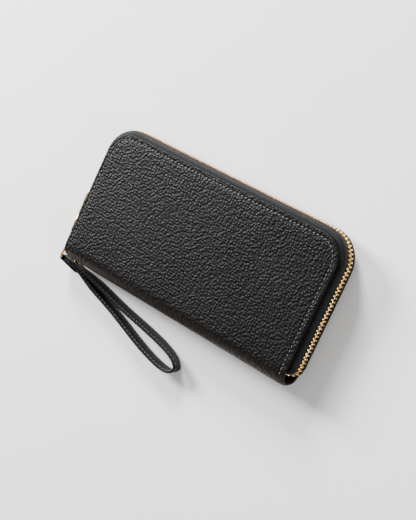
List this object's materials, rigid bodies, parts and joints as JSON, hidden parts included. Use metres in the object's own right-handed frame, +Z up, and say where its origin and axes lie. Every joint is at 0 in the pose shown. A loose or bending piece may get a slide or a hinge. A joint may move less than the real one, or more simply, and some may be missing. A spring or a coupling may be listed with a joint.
{
  "type": "zip-around wristlet wallet",
  "caption": "Long black pebbled-leather zip-around wallet with a gold metal zip, card slots, a zipped coin pocket and a wrist strap on a D-ring.",
  "frame": {"origin": "middle of the face the closed wallet lies on, the outside of its back cover", "axes": "+X along the wallet to its right end, +Y from the wrapped spine to the long zip side, +Z up from the back cover to the front cover"},
  "size_m": [0.2056, 0.135, 0.021],
  "materials": {
    "black_leather": "pebbled, semi-gloss",
    "black_lining": "woven twill, satin",
    "black_zip_tape": "woven tape, matte",
    "gold_metal": "pale gold plate, polished",
    "stiffener_board": "grey fibreboard, matte"
  },
  "bodies": {
    "back_cover": {"back_cover_leather": "black_leather", "back_cover_board": "stiffener_board", "back_cover_lining": "black_lining", "back_slip_pocket": "black_leather", "back_card_slot_left_1": "black_leather", "back_card_slot_left_2": "black_leather", "back_card_slot_left_3": "black_leather", "back_card_slot_right_1": "black_leather", "back_card_slot_right_2": "black_leather", "back_card_slot_right_3": "black_leather", "back_zip_tape": "black_zip_tape", "back_zip_teeth": "gold_metal", "back_zip_top_stop": "gold_metal", "gusset_left_back": "black_lining", "gusset_right_back": "black_lining", "zip_bottom_stop": "gold_metal", "spine_leather": "black_leather", "spine_lining": "black_lining", "ring_tab": "black_leather"},
    "coin_pocket": {"coin_pocket_back_panel": "black_leather", "coin_pocket_front_panel": "black_leather", "coin_zip_tape_back": "black_zip_tape", "coin_zip_tape_front": "black_zip_tape", "coin_zip_coil_back": "gold_metal", "coin_zip_coil_front": "gold_metal", "coin_zip_stop_left": "gold_metal", "coin_zip_stop_right": "gold_metal"},
    "front_cover": {"front_cover_leather": "black_leather", "front_cover_board": "stiffener_board", "front_cover_lining": "black_lining", "front_slip_pocket": "black_leather", "front_card_slot_left_1": "black_leather", "front_card_slot_left_2": "black_leather", "front_card_slot_left_3": "black_leather", "front_card_slot_right_1": "black_leather", "front_card_slot_right_2": "black_leather", "front_card_slot_right_3": "black_leather", "front_zip_tape": "black_zip_tape", "front_zip_teeth": "gold_metal", "front_zip_top_stop": "gold_metal", "gusset_left_front": "black_lining", "gusset_right_front": "black_lining"},
    "zip_slider": {"zip_slider": "gold_metal"},
    "zip_pull": {"zip_pull": "gold_metal"},
    "coin_slider": {"coin_zip_slider": "gold_metal"},
    "coin_pull": {"coin_zip_pull": "gold_metal"},
    "ring": {"strap_ring": "gold_metal"},
    "strap": {"wrist_strap": "black_leather", "strap_rivet": "gold_metal"}
  },
  "joints": [
    {"name": "cover_hinge", "type": "hinge", "parent": "back_cover", "child": "front_cover", "pos_m": [0, -0.04471, 0.01761], "axis": [1, 0, 0], "range_deg": [0, 75], "deforming": ["gusset_left_front", "gusset_right_front", "front_zip_teeth"]},
    {"name": "coin_pocket_hinge", "type": "hinge", "parent": "back_cover", "child": "coin_pocket", "pos_m": [0, -0.04471, 0.01761], "axis": [1, 0, 0], "range_deg": [0, 37.5], "deforming": ["gusset_left_back", "gusset_right_back"]},
    {"name": "zip_slide", "type": "slide", "parent": "back_cover", "child": "zip_slider", "axis": [0, 1, 0], "range_m": [0, 0.05], "deforming": ["back_zip_teeth"]},
    {"name": "zip_pull_hinge", "type": "hinge", "parent": "zip_slider", "child": "zip_pull", "pos_m": [-0.10285, -0.02585, 0.0105], "axis": [0, 0, 1], "range_deg": [0, 160]},
    {"name": "coin_zip_slide", "type": "slide", "parent": "coin_pocket", "child": "coin_slider", "axis": [1, 0, 0], "range_m": [0, 0.15]},
    {"name": "coin_pull_hinge", "type": "hinge", "parent": "coin_slider", "child": "coin_pull", "pos_m": [-0.0763, 0.0299, 0.0105], "axis": [0, 0, 1], "range_deg": [0, 170]},
    {"name": "ring_swing", "type": "hinge", "parent": "back_cover", "child": "ring", "pos_m": [-0.1006, -0.0419, 0.0073], "axis": [0, 0, 1], "range_deg": [-90, 0]},
    {"name": "strap_swing", "type": "hinge", "parent": "ring", "child": "strap", "pos_m": [-0.1012, -0.0503, 0.0073], "axis": [0, 0, 1], "range_deg": [-80, 0]}
  ],
  "couplings": [
    {"joint": "coin_pocket_hinge", "follows": "cover_hinge", "ratio": 0.5}
  ]
}
